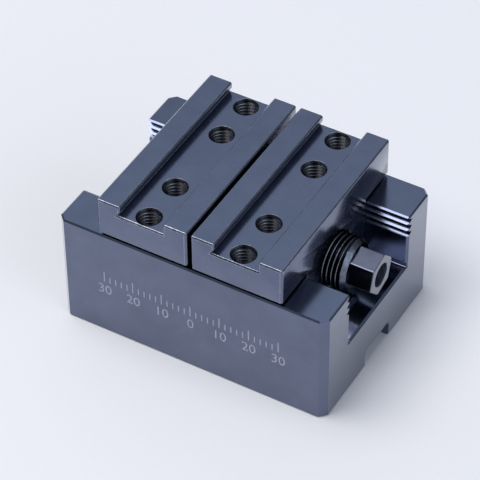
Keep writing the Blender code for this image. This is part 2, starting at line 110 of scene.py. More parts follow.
# Tapped holes of the jaws
TAP_PITCH = 1.25 * MM
TAP_CREST = 3.38 * MM
TAP_ROOT = 3.95 * MM
TAP_MOUTH = 4 * MM
TAP_SHELL = 4.12 * MM  # outer wall of the thread piece, sunk in the steel
TAP_HIGHLIGHT_BAND = 0.06 * MM  # from the crest outwards, where the thread is painted pale: painted highlight, with some wear
TAP_PHASE = 0.6  # radians to the start of the thread
TAP_STEPS = 64  # round one turn
TAP_MOUTH_SLOPE = -1.0  # the mouth opens at 45 degrees
TOP_CHANNEL_DEPTH = 3.7 * MM
TAP_PLACES = ((13.6 * MM, 9.5 * MM), (28.4 * MM, 9.4 * MM))  # distance across, and depth of the thread

# Etched scale on the front face
SCALE_HEIGHT = 21 * MM
SCALE_HALF = 15  # ticks to each side of the middle one
TICK_SPACING = 2 * MM
TICK_WIDTH = 0.4 * MM
TICK_SHORT = 2.4 * MM
TICK_LONG = 4 * MM
TALL_EVERY = 5  # ticks from one long tick, with its number, to the next
NUMBER_SIZE = 5 * MM
NUMBER_DROP = TICK_LONG + 0.9 * MM  # from the ticks' foot down to the numbers' foot
CUTTER_HALF = 0.3 * MM  # half the thickness of the ticks and numbers that cut the marks
ETCH_DEPTH = 0.02 * MM

# Patterns in the finishes, in noise cells to the metre, with the real size of a cell
OXIDE_CLOUDS = 110  # 9 mm
GRINDING_LINES = 5200  # 0.19 mm
GRINDING_RELIEF = 0.03 * MM
RUBBED_PATCHES = 700  # 1.4 mm
ETCHED_DUST = 1600  # 0.6 mm
ETCHED_RELIEF = 0.01 * MM
THREAD_GRAIN = 900  # 1.1 mm
BARE_LINES = 4200  # 0.24 mm
BARE_RELIEF = 0.04 * MM
PAPER_FIBRES = 900  # 1.1 mm, drawn coarser than real ones so that they show

# Studio: paper, lamps and the light of the room
PAPER_REACH = 0.8
LAMP_DISTANCE = 2.0
LAMP_AIM = (0, 0, 0.03)
ROOM_COLOR = "dae5f2"
# Each change in the room's light starts and ends at the values 1 and 2 of the direction's X, Y or Z, and goes
# from the value 3 to the value 4
WALL_UP = {1: -0.02, 2: 0.3, 3: 0.30, 4: 0.60}
EDGE_RISE = {1: 0.62, 2: 0.72, 3: 0.0, 4: 0.62}
EDGE_FALL = {1: 0.75, 2: 0.83, 3: 0.0, 4: -0.55}
FRONT_DIMMER = {1: -0.5, 2: 0.2, 3: 0.5, 4: 1.0}
EDGE_BEHIND = {1: -0.1, 2: 0.3, 3: 0.0, 4: 1.0}
RIGHT_DIMMER = {1: -0.3, 2: 0.2, 3: 1.0, 4: 0.3}
FILL_BESIDE = {1: 0.45, 2: 0.8, 3: 0.0, 4: 2.9}
FILL_BEFORE = {1: -0.1, 2: 0.5, 3: 1.0, 4: 0.15}

# The photograph's camera, in the part's own frame
CAMERA_PLACE = (0.284164, -0.486713, 0.559708)
CAMERA_RIGHT = (0.865644, 0.500604, -0.007455)
CAMERA_UP = (-0.339886, 0.598532, 0.725422)
CAMERA_BACK = (0.367611, -0.625424, 0.688263)
CAMERA_LENS = 191.65  # mm, as the sensor's width is
SENSOR_WIDTH = 36
CAMERA_NEAR = 0.05
CAMERA_FAR = 20


def linear(hex_color):
    """Linear RGBA of an sRGB colour written as six hex digits."""
    parts = [int(hex_color[i : i + 2], 16) / 255 for i in (0, 2, 4)]
    return (*[p / 12.92 if p <= 0.04045 else ((p + 0.055) / 1.055) ** 2.4 for p in parts], 1.0)


def add(tree, kind, inputs=None, **settings):
    """Adds a node with its settings, and sets or links its inputs, by name or by place.

    By place, 1 to 4 of a Map Range are the span taken and the span given, and the two values of a Mix are 6
    and 7 for colours, 2 and 3 for numbers.
    """
    made = tree.nodes.new(kind)
    for name, value in settings.items():
        setattr(made, name, value)
    for name, value in (inputs or {}).items():
        if isinstance(value, bpy.types.NodeSocket):
            tree.links.new(value, made.inputs[name])
        else:
            made.inputs[name].default_value = value
    return made


def finish(name, metallic=1.0):
    """A new material, with its node tree, its shader and its Object coordinates."""
    material = bpy.data.materials.new(name)
    material.use_nodes = True
    tree = material.node_tree
    shader = tree.nodes["Principled BSDF"]
    shader.inputs["Metallic"].default_value = metallic
    return material, tree, shader, add(tree, "ShaderNodeTexCoord").outputs["Object"]


def black_oxide(name, dark, light, roughness, grind=(0.05, 1, 1), oil=1.0):
    """Ground tool steel under black oxide and a film of oil.

    The eye gets a deep blue grey that mirrors the room softly, a faint cloudiness where the oxide took
    unevenly, and fine grinding lines, about 0.2 mm apart, that only show where the light grazes them.
    """
    material, tree, shader, spot = finish(name)
    cloud = add(tree, "ShaderNodeTexNoise", {"Vector": spot, "Scale": OXIDE_CLOUDS, "Detail": 4,
                                             "Roughness": 0.6}).outputs["Fac"]
    share = add(tree, "ShaderNodeMapRange", {0: cloud, 1: 0.32, 2: 0.68, 3: 0, 4: 1})
    tone = add(tree, "ShaderNodeMix", {0: share.outputs[0], 6: linear(dark), 7: linear(light)},
               data_type="RGBA")
    tree.links.new(tone.outputs[2], shader.inputs["Base Color"])
    along = add(tree, "ShaderNodeMapping", {"Vector": spot, "Scale": grind})
    lines = add(tree, "ShaderNodeTexNoise", {"Vector": along.outputs[0], "Scale": GRINDING_LINES,
                                             "Detail": 2}).outputs["Fac"]
    sheen = add(tree, "ShaderNodeMath", {0: cloud, 1: lines}, operation="MULTIPLY")
    rough = add(tree, "ShaderNodeMapRange", {0: sheen.outputs[0], 1: 0.12, 2: 0.38,
                                             3: roughness - 0.03, 4: roughness + 0.03})
    tree.links.new(rough.outputs[0], shader.inputs["Roughness"])
    bump = add(tree, "ShaderNodeBump", {"Strength": 0.02, "Distance": GRINDING_RELIEF, "Height": lines})
    tree.links.new(bump.outputs[0], shader.inputs["Normal"])
    shader.inputs["Coat Weight"].default_value = oil
    shader.inputs["Coat Roughness"].default_value = 0.16
    shader.inputs["Coat IOR"].default_value = 1.5
    return material


def rubbed_edge(name, dark, bare, rough):
    """Black oxide worn thin on edges, crests and cones, and painted paler than wear alone makes it: painted
    highlight. The eye gets pale steel that shows in broken stretches.
    """
    material, tree, shader, spot = finish(name)
    patches = add(tree, "ShaderNodeTexNoise", {"Vector": spot, "Scale": RUBBED_PATCHES, "Detail": 5,
                                               "Roughness": 0.65})
    share = add(tree, "ShaderNodeMapRange", {0: patches.outputs["Fac"], 1: 0.42, 2: 0.66, 3: 0, 4: 1})
    tone = add(tree, "ShaderNodeMix", {0: share.outputs[0], 6: linear(dark), 7: linear(bare)},
               data_type="RGBA")
    tree.links.new(tone.outputs[2], shader.inputs["Base Color"])
    polish = add(tree, "ShaderNodeMapRange", {0: share.outputs[0], 1: 0, 2: 1, 3: rough, 4: rough - 0.06})
    tree.links.new(polish.outputs[0], shader.inputs["Roughness"])
    return material


def laser_etch(name, pale, dusty):
    """Laser-etched marks: the eye gets a pale, dry, slightly uneven grey, the same from every side."""
    material, tree, shader, spot = finish(name, metallic=0.0)
    dust = add(tree, "ShaderNodeTexNoise", {"Vector": spot, "Scale": ETCHED_DUST, "Detail": 4,
                                            "Roughness": 0.6}).outputs["Fac"]
    share = add(tree, "ShaderNodeMapRange", {0: dust, 1: 0.35, 2: 0.65, 3: 0, 4: 1})
    tone = add(tree, "ShaderNodeMix", {0: share.outputs[0], 6: linear(pale), 7: linear(dusty)},
               data_type="RGBA")
    tree.links.new(tone.outputs[2], shader.inputs["Base Color"])
    rough = add(tree, "ShaderNodeMapRange", {0: share.outputs[0], 1: 0, 2: 1, 3: 0.55, 4: 0.7})
    tree.links.new(rough.outputs[0], shader.inputs["Roughness"])
    bump = add(tree, "ShaderNodeBump", {"Strength": 0.2, "Distance": ETCHED_RELIEF, "Height": dust})
    tree.links.new(bump.outputs[0], shader.inputs["Normal"])
    return material


def rolled_thread(name, flank, crest, roughness):
    """Rolled thread under black oxide, which the nut has worn.

    The eye gets nearly black, oily flanks, painted darker than the oxide for the shade between them, and
    thin, broken grey lines along the crests: painted highlight, partly wear from the nut.
    """
    material, tree, shader, spot = finish(name)
    centred = add(tree, "ShaderNodeMapping", {"Vector": spot, "Location": (0, 0, -AXIS_HEIGHT),
                                              "Scale": (0, 1, 1)})
    radius = add(tree, "ShaderNodeVectorMath", {0: centred.outputs[0]}, operation="LENGTH")
    # painted highlight, partly wear: the thread is coloured paler towards its crest radius
    highlit_and_rubbed = add(tree, "ShaderNodeMapRange", {0: radius.outputs["Value"], 1: CREST_PALE_START,
                                              2: CREST_PALE_FULL, 3: 0.0, 4: 1.0})
    grain = add(tree, "ShaderNodeTexNoise", {"Vector": spot, "Scale": THREAD_GRAIN,
                                             "Detail": 3}).outputs["Fac"]
    worn = add(tree, "ShaderNodeMapRange", {0: grain, 1: 0.3, 2: 0.6, 3: 0.55, 4: 1.0})
    share = add(tree, "ShaderNodeMath", {0: highlit_and_rubbed.outputs[0], 1: worn.outputs[0]}, operation="MULTIPLY")
    tone = add(tree, "ShaderNodeMix", {0: share.outputs[0], 6: linear(flank), 7: linear(crest)},
               data_type="RGBA")
    tree.links.new(tone.outputs[2], shader.inputs["Base Color"])
    rough = add(tree, "ShaderNodeMapRange", {0: grain, 1: 0.3, 2: 0.7,
                                             3: roughness - 0.04, 4: roughness + 0.04})
    tree.links.new(rough.outputs[0], shader.inputs["Roughness"])
    # Faces seen at a low angle stay dark, as they do between oily flanks
    shader.inputs["Specular Tint"].default_value = linear("606060")
    return material


def bare_steel(name, dark, light, roughness, lines_along):
    """Bare machined steel: the eye gets close parallel tool lines on a clean, cool grey."""
    material, tree, shader, spot = finish(name)
    along = add(tree, "ShaderNodeMapping", {"Vector": spot, "Scale": lines_along})
    lines = add(tree, "ShaderNodeTexNoise", {"Vector": along.outputs[0], "Scale": BARE_LINES,
                                             "Detail": 3}).outputs["Fac"]
    share = add(tree, "ShaderNodeMapRange", {0: lines, 1: 0.3, 2: 0.7, 3: 0, 4: 1}).outputs[0]
    tone = add(tree, "ShaderNodeMix", {0: share, 6: linear(dark), 7: linear(light)}, data_type="RGBA")
    tree.links.new(tone.outputs[2], shader.inputs["Base Color"])
    rough = add(tree, "ShaderNodeMapRange", {0: share, 1: 0, 2: 1, 3: roughness, 4: roughness + 0.08})
    tree.links.new(rough.outputs[0], shader.inputs["Roughness"])
    bump = add(tree, "ShaderNodeBump", {"Strength": 0.06, "Distance": BARE_RELIEF, "Height": lines})
    tree.links.new(bump.outputs[0], shader.inputs["Normal"])
    return material


def shown(name, mesh):
    """A new object in the scene."""
    item = bpy.data.objects.new(name, mesh)
    bpy.context.scene.collection.objects.link(item)
    return item


def plain_mesh(item):
    """The item's evaluated mesh, with the item and its modifiers taken away."""
    graph = bpy.context.evaluated_depsgraph_get()
    mesh = bpy.data.meshes.new_from_object(item.evaluated_get(graph))
    bpy.data.objects.remove(item)
    return mesh


def filled_mesh(name, made, *materials):
    """Turns a bmesh into a mesh with the materials given, and frees the bmesh."""
    mesh = bpy.data.meshes.new(name)
    made.to_mesh(mesh)
    made.free()
    for material in materials:
        mesh.materials.append(material)
    return mesh


def smoothed(mesh, degrees):
    """The mesh with soft shading, but sharp where faces meet at more than the angle given."""
    mesh.shade_smooth()
    mesh.set_sharp_from_angle(angle=math.radians(degrees))
    return mesh


def wired_modifier(item, tree, **values):
    """Adds a Geometry Nodes modifier and sets the inputs named, by their sockets' identifiers."""
    step = item.modifiers.new(tree.name, "NODES")
    step.node_group = tree
    wanted = {name.replace("_", " "): value for name, value in values.items()}
    for socket in tree.interface.items_tree:
        if socket.in_out == "INPUT" and socket.name in wanted:
            step[socket.identifier] = wanted[socket.name]


def dressed_mesh(node, surface, edge, cutter=None, limit=BREAK_ANGLE):
    """The node's solid with whole flat faces and broken edges, and marks cut in where a cutter is given."""
    made = bmesh.new()
    made.from_mesh(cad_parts[node].data)
    bmesh.ops.remove_doubles(made, verts=made.verts, dist=WELD)
    bmesh.ops.dissolve_limit(made, angle_limit=math.radians(LEVEL_ANGLE), verts=made.verts, edges=made.edges)
    for face in made.faces:
        face.material_index = 0
    item = shown(node, filled_mesh(node, made, surface, edge))
    bevel = item.modifiers.new("edges", "BEVEL")
    bevel.width = EDGE_BREAK
    bevel.segments = 1
    bevel.limit_method = "ANGLE"
    bevel.angle_limit = math.radians(limit)
    # the broken edges take the pale finish: painted highlight, with some wear
    bevel.material = PALE_SLOT
    if cutter:
        etch = item.modifiers.new("etch", "BOOLEAN")
        etch.object = cutter
        etch.material_mode = "TRANSFER"
    return smoothed(plain_mesh(item), SHARP_ANGLE)


def place(name, mesh, body, slot, *nodes):
    """Puts a finished mesh into the scene, riding on a body and standing for the CAD nodes named."""
    item = shown(name, mesh)
    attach(item, body)
    if nodes:
        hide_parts(*nodes)


def thread_tree():
    """Geometry Nodes tree of one screw thread's surface about the Z axis, from Z = 0 up to its length.

    A grid is wound into a helix: its long side runs round the turns, and its short side across one pitch.
    The groove runs out towards a plain far end, which a cone trims: inwards on a bolt, outwards in a hole.
    """
    tree = bpy.data.node_groups.new("cut_thread", "GeometryNodeTree")
    for name, kind in (
        ("Pitch", "NodeSocketFloat"),
        ("Crest radius", "NodeSocketFloat"),
        ("Root radius", "NodeSocketFloat"),
        ("Length", "NodeSocketFloat"),
        ("Turns", "NodeSocketInt"),
        ("Steps per turn", "NodeSocketInt"),
        ("Hand", "NodeSocketFloat"),
        ("Phase", "NodeSocketFloat"),
        ("Runout", "NodeSocketFloat"),
        ("Plain end", "NodeSocketFloat"),
        ("Start radius", "NodeSocketFloat"),
        ("End radius", "NodeSocketFloat"),
        ("End slope", "NodeSocketFloat"),
        ("Material", "NodeSocketMaterial"),
    ):
        tree.interface.new_socket(name, in_out="INPUT", socket_type=kind)
    tree.interface.new_socket("Geometry", in_out="OUTPUT", socket_type="NodeSocketGeometry")
    given = add(tree, "NodeGroupInput").outputs
    steps = add(tree, "ShaderNodeMath", {0: given["Turns"], 1: given["Steps per turn"], 2: 1.0},
                operation="MULTIPLY_ADD")
    grid = add(tree, "GeometryNodeMeshGrid", {"Size X": 1.0, "Size Y": 1.0, "Vertices X": steps.outputs[0],
                                              "Vertices Y": ROWS_ACROSS})
    spot = add(tree, "ShaderNodeSeparateXYZ", {0: add(tree, "GeometryNodeInputPosition").outputs[0]}).outputs
    share = add(tree, "ShaderNodeMath", {0: spot[0], 1: 0.5}, operation="ADD")
    turn = add(tree, "ShaderNodeMath", {0: share.outputs[0], 1: given["Turns"]},
               operation="MULTIPLY").outputs[0]
    winding = add(tree, "ShaderNodeMath", {0: given["Hand"], 1: math.tau}, operation="MULTIPLY")
    angle = add(tree, "ShaderNodeMath", {0: turn, 1: winding.outputs[0], 2: given["Phase"]},
                operation="MULTIPLY_ADD").outputs[0]
    across = add(tree, "ShaderNodeMath", {0: spot[1], 1: -1.0}, operation="ADD")
    pitches = add(tree, "ShaderNodeMath", {0: turn, 1: across.outputs[0]}, operation="ADD")
    height = add(tree, "ShaderNodeMath", {0: pitches.outputs[0], 1: given["Pitch"]}, operation="MULTIPLY")
    risen = add(tree, "ShaderNodeMath", {0: height.outputs[0], 1: 0.0}, operation="MAXIMUM")
    clipped = add(tree, "ShaderNodeMath", {0: risen.outputs[0], 1: given["Length"]},
                  operation="MINIMUM").outputs[0]
    middle = add(tree, "ShaderNodeMath", {0: spot[1]}, operation="ABSOLUTE")
    flank = add(tree, "ShaderNodeMapRange", {0: middle.outputs[0], 1: CREST_HALF, 2: ROOT_START,
                                             3: given["Crest radius"], 4: given["Root radius"]}).outputs[0]
    to_end = add(tree, "ShaderNodeMath", {0: given["Length"], 1: clipped}, operation="SUBTRACT")
    fade_from = add(tree, "ShaderNodeMath", {0: given["Plain end"], 1: given["Runout"]}, operation="ADD")
    fade = add(tree, "ShaderNodeMapRange", {0: to_end.outputs[0], 1: fade_from.outputs[0],
                                            2: given["Plain end"], 3: 0.0, 4: 1.0})
    cut = add(tree, "ShaderNodeMix", {0: fade.outputs[0], 2: flank, 3: given["Crest radius"]}).outputs[0]
    cone = add(tree, "ShaderNodeMath", {0: to_end.outputs[0], 1: given["End slope"], 2: given["End radius"]},
               operation="MULTIPLY_ADD").outputs[0]
    lesser = add(tree, "ShaderNodeMath", {0: cut, 1: cone}, operation="MINIMUM")
    greater = add(tree, "ShaderNodeMath", {0: cut, 1: cone}, operation="MAXIMUM")
    in_hole = add(tree, "ShaderNodeMath", {0: given["Root radius"], 1: given["Crest radius"]},
                  operation="GREATER_THAN")
    trimmed = add(tree, "ShaderNodeMix", {0: in_hole.outputs[0], 2: lesser.outputs[0], 3: greater.outputs[0]})
    begun = add(tree, "ShaderNodeMath", {0: clipped, 1: FINEST_WELD}, operation="GREATER_THAN")
    radius = add(tree, "ShaderNodeMix", {0: begun.outputs[0], 2: given["Start radius"],
                                         3: trimmed.outputs[0]})
    cosine = add(tree, "ShaderNodeMath", {0: angle}, operation="COSINE")
    sine = add(tree, "ShaderNodeMath", {0: angle}, operation="SINE")
    here_x = add(tree, "ShaderNodeMath", {0: radius.outputs[0], 1: cosine.outputs[0]}, operation="MULTIPLY")
    here_y = add(tree, "ShaderNodeMath", {0: radius.outputs[0], 1: sine.outputs[0]}, operation="MULTIPLY")
    wound = add(tree, "ShaderNodeCombineXYZ", {0: here_x.outputs[0], 1: here_y.outputs[0], 2: clipped})
    moved = add(tree, "GeometryNodeSetPosition", {"Geometry": grid.outputs["Mesh"],
                                                  "Position": wound.outputs[0]})
    welded = add(tree, "GeometryNodeMergeByDistance", {"Geometry": moved.outputs[0], "Distance": WELD})
    real = add(tree, "GeometryNodeRealizeInstances", {"Geometry": welded.outputs[0]})
    coated = add(tree, "GeometryNodeSetMaterial", {"Geometry": real.outputs[0],
                                                   "Material": given["Material"]})
    add(tree, "NodeGroupOutput", {"Geometry": coated.outputs[0]})
    return tree


def graduation_tree():
    """Geometry Nodes tree of the scale's ticks: a row of boxes on one foot line, some of them taller."""
    tree = bpy.data.node_groups.new("graduations", "GeometryNodeTree")
    for name, kind in (
        ("Half count", "NodeSocketInt"),
        ("Tall every", "NodeSocketInt"),
        ("Spacing", "NodeSocketFloat"),
        ("Width", "NodeSocketFloat"),
        ("Short", "NodeSocketFloat"),
        ("Long", "NodeSocketFloat"),
        ("Thickness", "NodeSocketFloat"),
        ("Material", "NodeSocketMaterial"),
    ):
        tree.interface.new_socket(name, in_out="INPUT", socket_type=kind)
    tree.interface.new_socket("Geometry", in_out="OUTPUT", socket_type="NodeSocketGeometry")
    given = add(tree, "NodeGroupInput").outputs
    count = add(tree, "ShaderNodeMath", {0: given["Half count"], 1: 2.0, 2: 1.0}, operation="MULTIPLY_ADD")
    start = add(tree, "ShaderNodeMath", {0: given["Half count"], 1: given["Spacing"]}, operation="MULTIPLY")
    left = add(tree, "ShaderNodeMath", {0: start.outputs[0], 1: -1.0}, operation="MULTIPLY")
    first = add(tree, "ShaderNodeCombineXYZ", {0: left.outputs[0]})
    step = add(tree, "ShaderNodeCombineXYZ", {0: given["Spacing"]})
    line = add(tree, "GeometryNodeMeshLine", {"Count": count.outputs[0], "Start Location": first.outputs[0],
                                              "Offset": step.outputs[0]})
    index = add(tree, "GeometryNodeInputIndex")
    place_in_group = add(tree, "ShaderNodeMath", {0: index.outputs[0], 1: given["Tall every"]},
                         operation="MODULO")
    tall = add(tree, "ShaderNodeMath", {0: place_in_group.outputs[0], 1: 0.5}, operation="LESS_THAN")
    height = add(tree, "ShaderNodeMix", {0: tall.outputs[0], 2: given["Short"], 3: given["Long"]})
    size = add(tree, "ShaderNodeCombineXYZ", {0: given["Width"], 1: height.outputs[0],
                                              2: given["Thickness"]})
    lift = add(tree, "ShaderNodeMath", {0: height.outputs[0], 1: 0.5}, operation="MULTIPLY")
    risen = add(tree, "ShaderNodeCombineXYZ", {1: lift.outputs[0]})
    raised = add(tree, "GeometryNodeSetPosition", {"Geometry": line.outputs[0], "Offset": risen.outputs[0]})
    tick = add(tree, "GeometryNodeMeshCube", {"Size": (1.0, 1.0, 1.0)})
    ticks = add(tree, "GeometryNodeInstanceOnPoints", {"Points": raised.outputs[0],
                                                       "Instance": tick.outputs[0],
                                                       "Scale": size.outputs[0]})
    real = add(tree, "GeometryNodeRealizeInstances", {"Geometry": ticks.outputs[0]})
    coated = add(tree, "GeometryNodeSetMaterial", {"Geometry": real.outputs[0],
                                                   "Material": given["Material"]})
    add(tree, "NodeGroupOutput", {"Geometry": coated.outputs[0]})
    return tree


def open_rims(made):
    """The open rims of a tube, as lists of vertices in order round each rim."""
    loose = [edge for edge in made.edges if edge.is_boundary]
    rims = []
    while loose:
        edge = loose.pop(0)
        rim = [edge.verts[0], edge.verts[1]]
        while True:
            onward = [e for e in rim[-1].link_edges if e in loose]
            if not onward:
                break
            loose.remove(onward[0])
            other = onward[0].other_vert(rim[-1])
            if other is rim[0]:
                break
            rim.append(other)
        rims.append(rim)
    return rims


def closed_thread(material, wall, **sizes):
    """One thread about the Z axis, closed at both rims onto a plain round wall that is out of sight."""
    item = shown("thread", bpy.data.meshes.new("thread"))
    wired_modifier(item, THREAD, Material=material, **sizes)
    made = bmesh.new()
    made.from_mesh(plain_mesh(item))
    bmesh.ops.remove_doubles(made, verts=made.verts, dist=FINE_WELD)
    bmesh.ops.dissolve_degenerate(made, edges=made.edges, dist=FINE_WELD)
    for face in made.faces:
        face.material_index = 0
    for rim in open_rims(made):
        height = sum(v.co.z for v in rim) / len(rim)
        hidden = []
        for v in rim:
            share = wall / math.hypot(v.co.x, v.co.y)
            hidden.append(made.verts.new((v.co.x * share, v.co.y * share, height)))
        for index in range(len(rim)):
            after = (index + 1) % len(rim)
            made.faces.new((rim[index], rim[after], hidden[after], hidden[index]))
    bmesh.ops.bridge_loops(made, edges=[edge for edge in made.edges if edge.is_boundary])
    bmesh.ops.recalc_face_normals(made, faces=made.faces)
    return made


def join_copy(made, part, move):
    """Adds a copy of one bmesh to another, moved into its place."""
    copy = bpy.data.meshes.new("copy")
    part.to_mesh(copy)
    copy.transform(move)
    made.from_mesh(copy)
    bpy.data.meshes.remove(copy)


def jaw_threads(name, side, shaded_flank, crest_highlight):
    """The threads of one jaw's four tapped holes: flanks coloured dark, painted shade, and crests coloured
    pale, painted highlight with some wear.
    """
    made = bmesh.new()
    top = JAW_HIGH.z - TOP_CHANNEL_DEPTH - EDGE_BREAK
    for across, depth in TAP_PLACES:
        one = closed_thread(shaded_flank, TAP_SHELL, Pitch=TAP_PITCH, Crest_radius=TAP_CREST,
                            Root_radius=TAP_ROOT, Length=depth,
                            Turns=math.ceil(depth / TAP_PITCH) + SPARE_TURNS, Steps_per_turn=TAP_STEPS,
                            Hand=1.0, Phase=TAP_PHASE, Runout=HAIR, Start_radius=TAP_ROOT,
                            End_radius=TAP_MOUTH, End_slope=TAP_MOUTH_SLOPE)
        # crest faces take the pale finish, painted highlight with some wear; the rest keep the dark flank
        # colour, painted shade
        for face in one.faces:
            middle = face.calc_center_median()
            if math.hypot(middle.x, middle.y) < TAP_CREST + TAP_HIGHLIGHT_BAND:
                face.material_index = PALE_SLOT
        for half in (-1, 1):
            join_copy(made, one, Matrix.Translation((side * HOLE_X, half * across, top - depth)))
        one.free()
    return smoothed(filled_mesh(name, made, shaded_flank, crest_highlight), JAW_THREAD_SHARP_ANGLE)


def ring(made, radii, angles, height):
    """A ring of new vertices about the Z axis, at a height, with a radius for each angle."""
    return [made.verts.new((r * math.cos(a), r * math.sin(a), height)) for r, a in zip(radii, angles)]


def skin(made, rings):
    """Joins rings of vertices with faces, and closes both ends with one face."""
    for lower, upper in zip(rings, rings[1:]):
        for index in range(len(lower)):
            after = (index + 1) % len(lower)
            made.faces.new((lower[index], lower[after], upper[after], upper[index]))
    made.faces.new(list(reversed(rings[0])))
    made.faces.new(rings[-1])


def hex_radius(angle):
    """Distance from the axis to the hexagon's side, in the direction of an angle, with its corners eased."""
    from_flat = (angle - HEX_TURN) % (math.pi / 3) - math.pi / 6
    corner = HEX_ACROSS_FLATS / 2 / math.cos(math.pi / 6)
    return min(HEX_ACROSS_FLATS / 2 / math.cos(from_flat), corner - HEX_CORNER_ROUND)


def hex_end(made):
    """The hex about Z with its edges broken, and the bore sunk in its end."""
    angles = [math.tau * index / HEX_STEPS + HEX_TURN for index in range(HEX_STEPS)]
    foot = SPINDLE_HIGH.x - HEX_LENGTH
    tip = SPINDLE_HIGH.x
    rings = []
    for lost, height in ((0.0, foot - OVERLAP), (0.0, tip - HEX_TIP_CHAMFER), (HEX_TIP_CHAMFER, tip)):
        rings.append(ring(made, [hex_radius(a) - lost for a in angles], angles, height))
    mouth = HEX_BORE_RADIUS + HEX_BORE_CHAMFER
    for radius, height in ((mouth, tip), (HEX_BORE_RADIUS, tip - HEX_BORE_CHAMFER),
                           (HEX_BORE_RADIUS, tip - HEX_BORE_DEPTH)):
        rings.append(ring(made, [radius] * HEX_STEPS, angles, height))
    skin(made, rings)
    for face in made.faces:
        middle = face.calc_center_median()
        if middle.z > foot:
            in_bore = math.hypot(middle.x, middle.y) < mouth - HAIR and middle.z < tip - HAIR
            face.material_index = BORE_SLOT if in_bore else HEX_SLOT


def round_bar(made, radius, low, high):
    """A plain round length of the spindle, about Z."""
    angles = [math.tau * index / SPINDLE_STEPS for index in range(SPINDLE_STEPS)]
    skin(made, [ring(made, [radius] * SPINDLE_STEPS, angles, height) for height in (low, high)])


def spindle_mesh(thread, turned, drilled, highlit_and_rubbed):
    """The spindle: left-hand thread towards its hex, right-hand thread on the far side, a neck between."""
    made = bmesh.new()
    for hand, turn in ((-1.0, 0), (1.0, math.pi)):
        one = closed_thread(thread, THREAD_WALL, Pitch=SPINDLE_PITCH, Crest_radius=SPINDLE_CREST,
                            Root_radius=SPINDLE_ROOT, Length=THREAD_LENGTH,
                            Turns=math.ceil(THREAD_LENGTH / SPINDLE_PITCH) + SPARE_TURNS,
                            Steps_per_turn=SPINDLE_STEPS, Hand=hand, Phase=CREST_PHASE,
                            Runout=THREAD_RUNOUT, Plain_end=THREAD_END_TAPER, Start_radius=SPINDLE_ROOT,
                            End_radius=SPINDLE_CREST - THREAD_END_DROP,
                            End_slope=THREAD_END_DROP / THREAD_END_TAPER)
        # the cones take the pale finish, painted highlight with some wear; the flat ends keep the dark flank
        # colour, painted shade
        for face in one.faces:
            height = face.calc_center_median().z
            if THREAD_LENGTH - THREAD_END_TAPER < height < THREAD_LENGTH - HAIR:
                face.material_index = CONE_SLOT
        join_copy(made, one, Matrix.Rotation(turn, 4, "X") @ Matrix.Translation((0, 0, THREAD_START)))
        one.free()
    hex_end(made)
    round_bar(made, CORE_RADIUS, -THREAD_START - OVERLAP, THREAD_START + OVERLAP)
    hidden_end = -THREAD_START - THREAD_LENGTH
    round_bar(made, END_DISC_RADIUS, hidden_end, hidden_end + END_DISC_THICKNESS)
    bmesh.ops.recalc_face_normals(made, faces=made.faces)
    lying = Matrix(((0, 0, 1, 0), (1, 0, 0, 0), (0, 1, 0, AXIS_HEIGHT), (0, 0, 0, 1)))
    bmesh.ops.transform(made, matrix=lying, verts=made.verts)
    return smoothed(filled_mesh("spindle_cut", made, thread, turned, drilled, highlit_and_rubbed), SPINDLE_SHARP_ANGLE)


def number_solid(text, across):
    """One number of the scale as a thin solid in the XY plane, centred under its tick."""
    curve = bpy.data.curves.new("number", "FONT")
    curve.body = text
    curve.size = NUMBER_SIZE
    curve.align_x = "CENTER"
    curve.extrude = CUTTER_HALF
    item = shown("number", curve)
    made = bmesh.new()
    made.from_mesh(plain_mesh(item))
    bmesh.ops.remove_doubles(made, verts=made.verts, dist=FINEST_WELD)
    bmesh.ops.translate(made, verts=made.verts, vec=(across, -NUMBER_DROP, 0))
    return made


def etch_cutter(material):
    """Ticks and numbers as one cutter that reaches just through the front face."""
    ticks = shown("ticks", bpy.data.meshes.new("ticks"))
    wired_modifier(ticks, GRADUATIONS, Half_count=SCALE_HALF, Tall_every=TALL_EVERY, Spacing=TICK_SPACING,
                   Width=TICK_WIDTH, Short=TICK_SHORT, Long=TICK_LONG, Thickness=2 * CUTTER_HALF,
                   Material=material)
    made = bmesh.new()
    made.from_mesh(plain_mesh(ticks))
    for tick in range(-SCALE_HALF, SCALE_HALF + 1, TALL_EVERY):
        across = tick * TICK_SPACING
        one = number_solid(str(abs(round(across / MM))), across)
        join_copy(made, one, Matrix.Identity(4))
        one.free()
    for face in made.faces:
        face.material_index = 0
    bmesh.ops.recalc_face_normals(made, faces=made.faces)
    upright = Matrix.Rotation(math.pi / 2, 4, "X")
    sunk = Matrix.Translation((0, FRONT_FACE - CUTTER_HALF + ETCH_DEPTH, SCALE_HEIGHT))
    bmesh.ops.transform(made, matrix=sunk @ upright, verts=made.verts)
    return shown("scale_cutter", filled_mesh("scale_cutter", made, material))


def paper_sweep():
    """Matt card under the part: the eye gets a pale, cool, even grey with hardly any sheen."""
    material, tree, shader, spot = finish("pale_paper_sweep", metallic=0.0)
    fibre = add(tree, "ShaderNodeTexNoise", {"Vector": spot, "Scale": PAPER_FIBRES, "Detail": 3})
    tone = add(tree, "ShaderNodeMix", {0: fibre.outputs["Fac"], 6: linear("eef0f6"), 7: linear("f2f4f9")},
               data_type="RGBA")
    tree.links.new(tone.outputs[2], shader.inputs["Base Color"])
    shader.inputs["Roughness"].default_value = 0.9
    shader.inputs["Specular IOR Level"].default_value = 0.1
    made = bmesh.new()
    bmesh.ops.create_grid(made, x_segments=1, y_segments=1, size=PAPER_REACH)
    shown("floor", filled_mesh("floor", made, material))


